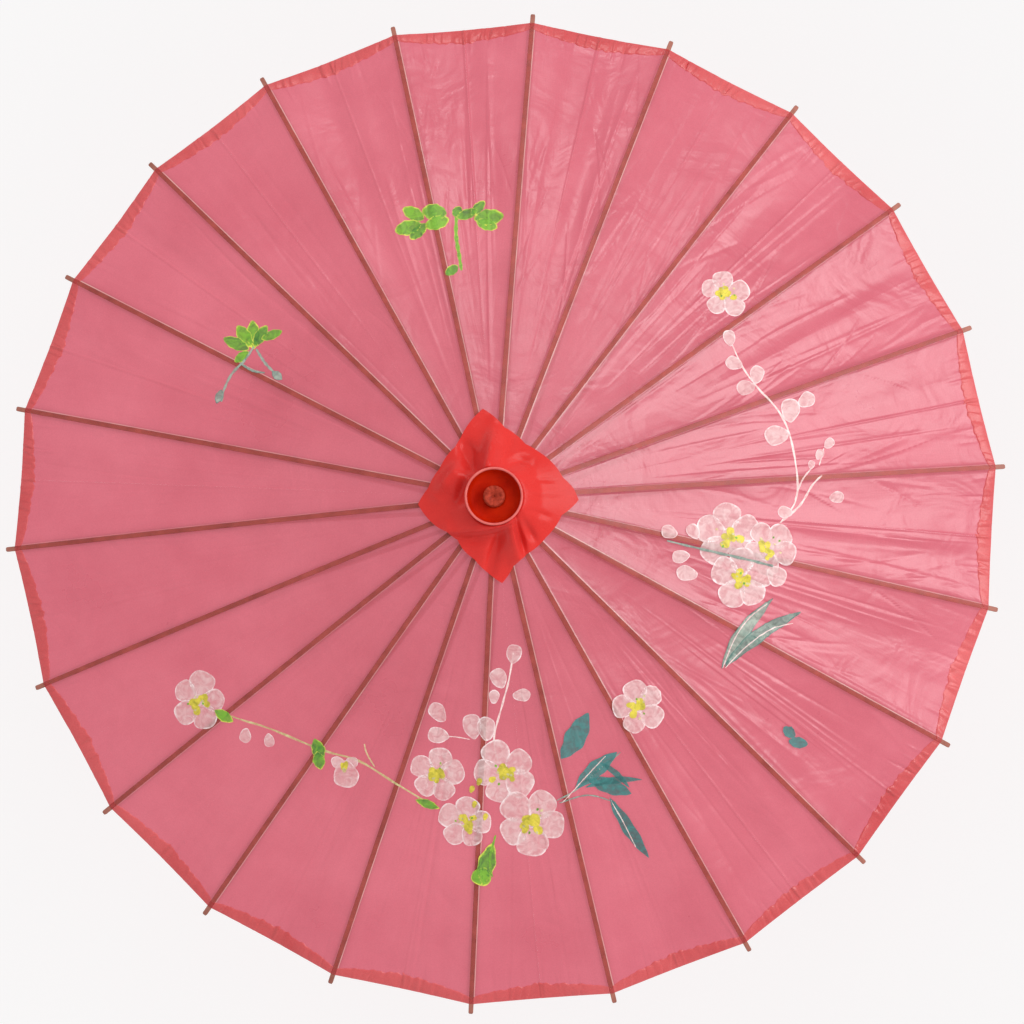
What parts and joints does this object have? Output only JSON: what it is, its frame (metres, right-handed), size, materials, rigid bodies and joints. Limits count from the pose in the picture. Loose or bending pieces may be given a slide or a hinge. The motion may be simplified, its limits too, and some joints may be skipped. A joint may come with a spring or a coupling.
{
  "type": "folding parasol",
  "caption": "Folding parasol: cloth canopy on bamboo ribs hinged at a top notch, opened by stretchers and a sliding runner on a central shaft with a turned handle.",
  "frame": {"origin": "centre of the handle's flat end, which is the lowest face", "axes": "+Z along the shaft towards the top cup; +X towards the nose of the spring catch, about midway between two ribs"},
  "size_m": [0.819, 0.82, 0.5478],
  "materials": {
    "bamboo": "stained bamboo, satin",
    "shaft_bamboo": "varnished bamboo pole",
    "pink_cloth": "thin translucent woven cloth with a soft sheen",
    "hem_cloth": "the same cloth folded double at the edge",
    "cap_cloth": "red satin cloth",
    "red_lacquer": "turned wood in red lacquer, glossy",
    "turned_wood": "turned wood, satin",
    "dark_wood": "turned wood in dark stain",
    "thread": "waxed thread",
    "steel": "plain wire",
    "cord": "twisted cord"
  },
  "bodies": {
    "root": {"shaft": "shaft_bamboo", "handle": "dark_wood", "hand_loop": "cord", "top_notch": "turned_wood", "notch_wire": "steel", "notch_nail": "steel", "ferrule_cup": "red_lacquer", "cap_cloth": "cap_cloth", "cap_tie": "thread", "canopy": "pink_cloth", "hem_band": "hem_cloth", "catch_pin": "steel", "stop_pin": "steel"},
    "runner": {"runner": "turned_wood", "runner_wire": "steel"},
    "catch": {"spring_catch": "steel"},
    "rib_01": {"rib_01": "bamboo"},
    "rib_02": {"rib_02": "bamboo"},
    "rib_03": {"rib_03": "bamboo"},
    "rib_04": {"rib_04": "bamboo"},
    "rib_05": {"rib_05": "bamboo"},
    "rib_06": {"rib_06": "bamboo"},
    "rib_07": {"rib_07": "bamboo"},
    "rib_08": {"rib_08": "bamboo"},
    "rib_09": {"rib_09": "bamboo"},
    "rib_10": {"rib_10": "bamboo"},
    "rib_11": {"rib_11": "bamboo"},
    "rib_12": {"rib_12": "bamboo"},
    "rib_13": {"rib_13": "bamboo"},
    "rib_14": {"rib_14": "bamboo"},
    "rib_15": {"rib_15": "bamboo"},
    "rib_16": {"rib_16": "bamboo"},
    "rib_17": {"rib_17": "bamboo"},
    "rib_18": {"rib_18": "bamboo"},
    "rib_19": {"rib_19": "bamboo"},
    "rib_20": {"rib_20": "bamboo"},
    "rib_21": {"rib_21": "bamboo"},
    "rib_22": {"rib_22": "bamboo"},
    "stretcher_01": {"stretcher_01": "bamboo"},
    "stretcher_02": {"stretcher_02": "bamboo"},
    "stretcher_03": {"stretcher_03": "bamboo"},
    "stretcher_04": {"stretcher_04": "bamboo"},
    "stretcher_05": {"stretcher_05": "bamboo"},
    "stretcher_06": {"stretcher_06": "bamboo"},
    "stretcher_07": {"stretcher_07": "bamboo"},
    "stretcher_08": {"stretcher_08": "bamboo"},
    "stretcher_09": {"stretcher_09": "bamboo"},
    "stretcher_10": {"stretcher_10": "bamboo"},
    "stretcher_11": {"stretcher_11": "bamboo"},
    "stretcher_12": {"stretcher_12": "bamboo"},
    "stretcher_13": {"stretcher_13": "bamboo"},
    "stretcher_14": {"stretcher_14": "bamboo"},
    "stretcher_15": {"stretcher_15": "bamboo"},
    "stretcher_16": {"stretcher_16": "bamboo"},
    "stretcher_17": {"stretcher_17": "bamboo"},
    "stretcher_18": {"stretcher_18": "bamboo"},
    "stretcher_19": {"stretcher_19": "bamboo"},
    "stretcher_20": {"stretcher_20": "bamboo"},
    "stretcher_21": {"stretcher_21": "bamboo"},
    "stretcher_22": {"stretcher_22": "bamboo"}
  },
  "joints": [
    {"name": "runner_slide", "type": "slide", "parent": "root", "child": "runner", "axis": [0, 0, -1], "range_m": [0, 0.26528], "deforming": ["spring_catch"]},
    {"name": "rib_hinge_01", "type": "hinge", "parent": "root", "child": "rib_01", "pos_m": [0.00096, 0.01547, 0.52038], "axis": [-0.9981, 0.0619, 0], "range_deg": [-0.1, 70.7]},
    {"name": "rib_hinge_02", "type": "hinge", "parent": "root", "child": "rib_02", "pos_m": [0.00528, 0.01457, 0.52038], "axis": [-0.9402, 0.3406, 0], "range_deg": [-0.1, 70.7]},
    {"name": "rib_hinge_03", "type": "hinge", "parent": "root", "child": "rib_03", "pos_m": [0.00917, 0.0125, 0.52038], "axis": [-0.8062, 0.5917, 0], "range_deg": [-0.1, 70.7]},
    {"name": "rib_hinge_04", "type": "hinge", "parent": "root", "child": "rib_04", "pos_m": [0.01232, 0.00941, 0.52038], "axis": [-0.6068, 0.7948, 0], "range_deg": [-0.1, 70.7]},
    {"name": "rib_hinge_05", "type": "hinge", "parent": "root", "child": "rib_05", "pos_m": [0.01447, 0.00555, 0.52038], "axis": [-0.3583, 0.9336, 0], "range_deg": [-0.1, 70.7]},
    {"name": "rib_hinge_06", "type": "hinge", "parent": "root", "child": "rib_06", "pos_m": [0.01545, 0.00125, 0.52038], "axis": [-0.0808, 0.9967, 0], "range_deg": [-0.1, 70.7]},
    {"name": "rib_hinge_07", "type": "hinge", "parent": "root", "child": "rib_07", "pos_m": [0.01518, -0.00315, 0.52038], "axis": [0.2033, 0.9791, 0], "range_deg": [-0.1, 70.7]},
    {"name": "rib_hinge_08", "type": "hinge", "parent": "root", "child": "rib_08", "pos_m": [0.01367, -0.0073, 0.52038], "axis": [0.4709, 0.8822, 0], "range_deg": [-0.1, 70.7]},
    {"name": "rib_hinge_09", "type": "hinge", "parent": "root", "child": "rib_09", "pos_m": [0.01106, -0.01086, 0.52038], "axis": [0.7004, 0.7138, 0], "range_deg": [-0.1, 70.7]},
    {"name": "rib_hinge_10", "type": "hinge", "parent": "root", "child": "rib_10", "pos_m": [0.00756, -0.01353, 0.52038], "axis": [0.8731, 0.4875, 0], "range_deg": [-0.1, 70.7]},
    {"name": "rib_hinge_11", "type": "hinge", "parent": "root", "child": "rib_11", "pos_m": [0.00344, -0.01511, 0.52038], "axis": [0.9751, 0.2218, 0], "range_deg": [-0.1, 70.7]},
    {"name": "rib_hinge_12", "type": "hinge", "parent": "root", "child": "rib_12", "pos_m": [-0.00096, -0.01547, 0.52038], "axis": [0.9981, -0.0619, 0], "range_deg": [-0.1, 70.7]},
    {"name": "rib_hinge_13", "type": "hinge", "parent": "root", "child": "rib_13", "pos_m": [-0.00528, -0.01457, 0.52038], "axis": [0.9402, -0.3406, 0], "range_deg": [-0.1, 70.7]},
    {"name": "rib_hinge_14", "type": "hinge", "parent": "root", "child": "rib_14", "pos_m": [-0.00917, -0.0125, 0.52038], "axis": [0.8062, -0.5917, 0], "range_deg": [-0.1, 70.7]},
    {"name": "rib_hinge_15", "type": "hinge", "parent": "root", "child": "rib_15", "pos_m": [-0.01232, -0.00941, 0.52038], "axis": [0.6068, -0.7948, 0], "range_deg": [-0.1, 70.7]},
    {"name": "rib_hinge_16", "type": "hinge", "parent": "root", "child": "rib_16", "pos_m": [-0.01447, -0.00555, 0.52038], "axis": [0.3583, -0.9336, 0], "range_deg": [-0.1, 70.7]},
    {"name": "rib_hinge_17", "type": "hinge", "parent": "root", "child": "rib_17", "pos_m": [-0.01545, -0.00125, 0.52038], "axis": [0.0808, -0.9967, 0], "range_deg": [-0.1, 70.7]},
    {"name": "rib_hinge_18", "type": "hinge", "parent": "root", "child": "rib_18", "pos_m": [-0.01518, 0.00315, 0.52038], "axis": [-0.2033, -0.9791, 0], "range_deg": [-0.1, 70.7]},
    {"name": "rib_hinge_19", "type": "hinge", "parent": "root", "child": "rib_19", "pos_m": [-0.01367, 0.0073, 0.52038], "axis": [-0.4709, -0.8822, 0], "range_deg": [-0.1, 70.7]},
    {"name": "rib_hinge_20", "type": "hinge", "parent": "root", "child": "rib_20", "pos_m": [-0.01106, 0.01086, 0.52038], "axis": [-0.7004, -0.7138, 0], "range_deg": [-0.1, 70.7]},
    {"name": "rib_hinge_21", "type": "hinge", "parent": "root", "child": "rib_21", "pos_m": [-0.00756, 0.01353, 0.52038], "axis": [-0.8731, -0.4875, 0], "range_deg": [-0.1, 70.7]},
    {"name": "rib_hinge_22", "type": "hinge", "parent": "root", "child": "rib_22", "pos_m": [-0.00344, 0.01511, 0.52038], "axis": [-0.9751, -0.2218, 0], "range_deg": [-0.1, 70.7]},
    {"name": "stretcher_hinge_01", "type": "hinge", "parent": "rib_01", "child": "stretcher_01", "pos_m": [0.01257, 0.20269, 0.46667], "axis": [-0.9981, 0.0619, 0], "range_deg": [-134.08, 0.1]},
    {"name": "stretcher_hinge_02", "type": "hinge", "parent": "rib_02", "child": "stretcher_02", "pos_m": [0.06917, 0.19094, 0.46667], "axis": [-0.9402, 0.3406, 0], "range_deg": [-134.08, 0.1]},
    {"name": "stretcher_hinge_03", "type": "hinge", "parent": "rib_03", "child": "stretcher_03", "pos_m": [0.12016, 0.16372, 0.46667], "axis": [-0.8062, 0.5917, 0], "range_deg": [-134.08, 0.1]},
    {"name": "stretcher_hinge_04", "type": "hinge", "parent": "rib_04", "child": "stretcher_04", "pos_m": [0.16142, 0.12323, 0.46667], "axis": [-0.6068, 0.7948, 0], "range_deg": [-134.08, 0.1]},
    {"name": "stretcher_hinge_05", "type": "hinge", "parent": "rib_05", "child": "stretcher_05", "pos_m": [0.1896, 0.07276, 0.46667], "axis": [-0.3583, 0.9336, 0], "range_deg": [-134.08, 0.1]},
    {"name": "stretcher_hinge_06", "type": "hinge", "parent": "rib_06", "child": "stretcher_06", "pos_m": [0.20242, 0.0164, 0.46667], "axis": [-0.0808, 0.9967, 0], "range_deg": [-134.08, 0.1]},
    {"name": "stretcher_hinge_07", "type": "hinge", "parent": "rib_07", "child": "stretcher_07", "pos_m": [0.19884, -0.04129, 0.46667], "axis": [0.2033, 0.9791, 0], "range_deg": [-134.08, 0.1]},
    {"name": "stretcher_hinge_08", "type": "hinge", "parent": "rib_08", "child": "stretcher_08", "pos_m": [0.17915, -0.09564, 0.46667], "axis": [0.4709, 0.8822, 0], "range_deg": [-134.08, 0.1]},
    {"name": "stretcher_hinge_09", "type": "hinge", "parent": "rib_09", "child": "stretcher_09", "pos_m": [0.14495, -0.14224, 0.46667], "axis": [0.7004, 0.7138, 0], "range_deg": [-134.08, 0.1]},
    {"name": "stretcher_hinge_10", "type": "hinge", "parent": "rib_10", "child": "stretcher_10", "pos_m": [0.099, -0.17731, 0.46667], "axis": [0.8731, 0.4875, 0], "range_deg": [-134.08, 0.1]},
    {"name": "stretcher_hinge_11", "type": "hinge", "parent": "rib_11", "child": "stretcher_11", "pos_m": [0.04504, -0.19802, 0.46667], "axis": [0.9751, 0.2218, 0], "range_deg": [-134.08, 0.1]},
    {"name": "stretcher_hinge_12", "type": "hinge", "parent": "rib_12", "child": "stretcher_12", "pos_m": [-0.01257, -0.20269, 0.46667], "axis": [0.9981, -0.0619, 0], "range_deg": [-134.08, 0.1]},
    {"name": "stretcher_hinge_13", "type": "hinge", "parent": "rib_13", "child": "stretcher_13", "pos_m": [-0.06917, -0.19094, 0.46667], "axis": [0.9402, -0.3406, 0], "range_deg": [-134.08, 0.1]},
    {"name": "stretcher_hinge_14", "type": "hinge", "parent": "rib_14", "child": "stretcher_14", "pos_m": [-0.12016, -0.16372, 0.46667], "axis": [0.8062, -0.5917, 0], "range_deg": [-134.08, 0.1]},
    {"name": "stretcher_hinge_15", "type": "hinge", "parent": "rib_15", "child": "stretcher_15", "pos_m": [-0.16142, -0.12323, 0.46667], "axis": [0.6068, -0.7948, 0], "range_deg": [-134.08, 0.1]},
    {"name": "stretcher_hinge_16", "type": "hinge", "parent": "rib_16", "child": "stretcher_16", "pos_m": [-0.1896, -0.07276, 0.46667], "axis": [0.3583, -0.9336, 0], "range_deg": [-134.08, 0.1]},
    {"name": "stretcher_hinge_17", "type": "hinge", "parent": "rib_17", "child": "stretcher_17", "pos_m": [-0.20242, -0.0164, 0.46667], "axis": [0.0808, -0.9967, 0], "range_deg": [-134.08, 0.1]},
    {"name": "stretcher_hinge_18", "type": "hinge", "parent": "rib_18", "child": "stretcher_18", "pos_m": [-0.19884, 0.04129, 0.46667], "axis": [-0.2033, -0.9791, 0], "range_deg": [-134.08, 0.1]},
    {"name": "stretcher_hinge_19", "type": "hinge", "parent": "rib_19", "child": "stretcher_19", "pos_m": [-0.17915, 0.09564, 0.46667], "axis": [-0.4709, -0.8822, 0], "range_deg": [-134.08, 0.1]},
    {"name": "stretcher_hinge_20", "type": "hinge", "parent": "rib_20", "child": "stretcher_20", "pos_m": [-0.14495, 0.14224, 0.46667], "axis": [-0.7004, -0.7138, 0], "range_deg": [-134.08, 0.1]},
    {"name": "stretcher_hinge_21", "type": "hinge", "parent": "rib_21", "child": "stretcher_21", "pos_m": [-0.099, 0.17731, 0.46667], "axis": [-0.8731, -0.4875, 0], "range_deg": [-134.08, 0.1]},
    {"name": "stretcher_hinge_22", "type": "hinge", "parent": "rib_22", "child": "stretcher_22", "pos_m": [-0.04504, 0.19802, 0.46667], "axis": [-0.9751, -0.2218, 0], "range_deg": [-134.08, 0.1]},
    {"name": "catch_press", "type": "hinge", "parent": "root", "child": "catch", "pos_m": [0.0043, 0, 0.31298], "axis": [0, -1, 0], "range_deg": [0, 3.6], "stiffness_Nm_per_rad": 0.8}
  ],
  "couplings": [
    {"joint": "rib_hinge_01", "follows": "runner_slide", "rad_per_m": 4.6449},
    {"joint": "rib_hinge_02", "follows": "runner_slide", "rad_per_m": 4.6449},
    {"joint": "rib_hinge_03", "follows": "runner_slide", "rad_per_m": 4.6449},
    {"joint": "rib_hinge_04", "follows": "runner_slide", "rad_per_m": 4.6449},
    {"joint": "rib_hinge_05", "follows": "runner_slide", "rad_per_m": 4.6449},
    {"joint": "rib_hinge_06", "follows": "runner_slide", "rad_per_m": 4.6449},
    {"joint": "rib_hinge_07", "follows": "runner_slide", "rad_per_m": 4.6449},
    {"joint": "rib_hinge_08", "follows": "runner_slide", "rad_per_m": 4.6449},
    {"joint": "rib_hinge_09", "follows": "runner_slide", "rad_per_m": 4.6449},
    {"joint": "rib_hinge_10", "follows": "runner_slide", "rad_per_m": 4.6449},
    {"joint": "rib_hinge_11", "follows": "runner_slide", "rad_per_m": 4.6449},
    {"joint": "rib_hinge_12", "follows": "runner_slide", "rad_per_m": 4.6449},
    {"joint": "rib_hinge_13", "follows": "runner_slide", "rad_per_m": 4.6449},
    {"joint": "rib_hinge_14", "follows": "runner_slide", "rad_per_m": 4.6449},
    {"joint": "rib_hinge_15", "follows": "runner_slide", "rad_per_m": 4.6449},
    {"joint": "rib_hinge_16", "follows": "runner_slide", "rad_per_m": 4.6449},
    {"joint": "rib_hinge_17", "follows": "runner_slide", "rad_per_m": 4.6449},
    {"joint": "rib_hinge_18", "follows": "runner_slide", "rad_per_m": 4.6449},
    {"joint": "rib_hinge_19", "follows": "runner_slide", "rad_per_m": 4.6449},
    {"joint": "rib_hinge_20", "follows": "runner_slide", "rad_per_m": 4.6449},
    {"joint": "rib_hinge_21", "follows": "runner_slide", "rad_per_m": 4.6449},
    {"joint": "rib_hinge_22", "follows": "runner_slide", "rad_per_m": 4.6449},
    {"joint": "stretcher_hinge_01", "follows": "runner_slide", "rad_per_m": -8.8146},
    {"joint": "stretcher_hinge_02", "follows": "runner_slide", "rad_per_m": -8.8146},
    {"joint": "stretcher_hinge_03", "follows": "runner_slide", "rad_per_m": -8.8146},
    {"joint": "stretcher_hinge_04", "follows": "runner_slide", "rad_per_m": -8.8146},
    {"joint": "stretcher_hinge_05", "follows": "runner_slide", "rad_per_m": -8.8146},
    {"joint": "stretcher_hinge_06", "follows": "runner_slide", "rad_per_m": -8.8146},
    {"joint": "stretcher_hinge_07", "follows": "runner_slide", "rad_per_m": -8.8146},
    {"joint": "stretcher_hinge_08", "follows": "runner_slide", "rad_per_m": -8.8146},
    {"joint": "stretcher_hinge_09", "follows": "runner_slide", "rad_per_m": -8.8146},
    {"joint": "stretcher_hinge_10", "follows": "runner_slide", "rad_per_m": -8.8146},
    {"joint": "stretcher_hinge_11", "follows": "runner_slide", "rad_per_m": -8.8146},
    {"joint": "stretcher_hinge_12", "follows": "runner_slide", "rad_per_m": -8.8146},
    {"joint": "stretcher_hinge_13", "follows": "runner_slide", "rad_per_m": -8.8146},
    {"joint": "stretcher_hinge_14", "follows": "runner_slide", "rad_per_m": -8.8146},
    {"joint": "stretcher_hinge_15", "follows": "runner_slide", "rad_per_m": -8.8146},
    {"joint": "stretcher_hinge_16", "follows": "runner_slide", "rad_per_m": -8.8146},
    {"joint": "stretcher_hinge_17", "follows": "runner_slide", "rad_per_m": -8.8146},
    {"joint": "stretcher_hinge_18", "follows": "runner_slide", "rad_per_m": -8.8146},
    {"joint": "stretcher_hinge_19", "follows": "runner_slide", "rad_per_m": -8.8146},
    {"joint": "stretcher_hinge_20", "follows": "runner_slide", "rad_per_m": -8.8146},
    {"joint": "stretcher_hinge_21", "follows": "runner_slide", "rad_per_m": -8.8146},
    {"joint": "stretcher_hinge_22", "follows": "runner_slide", "rad_per_m": -8.8146}
  ]
}
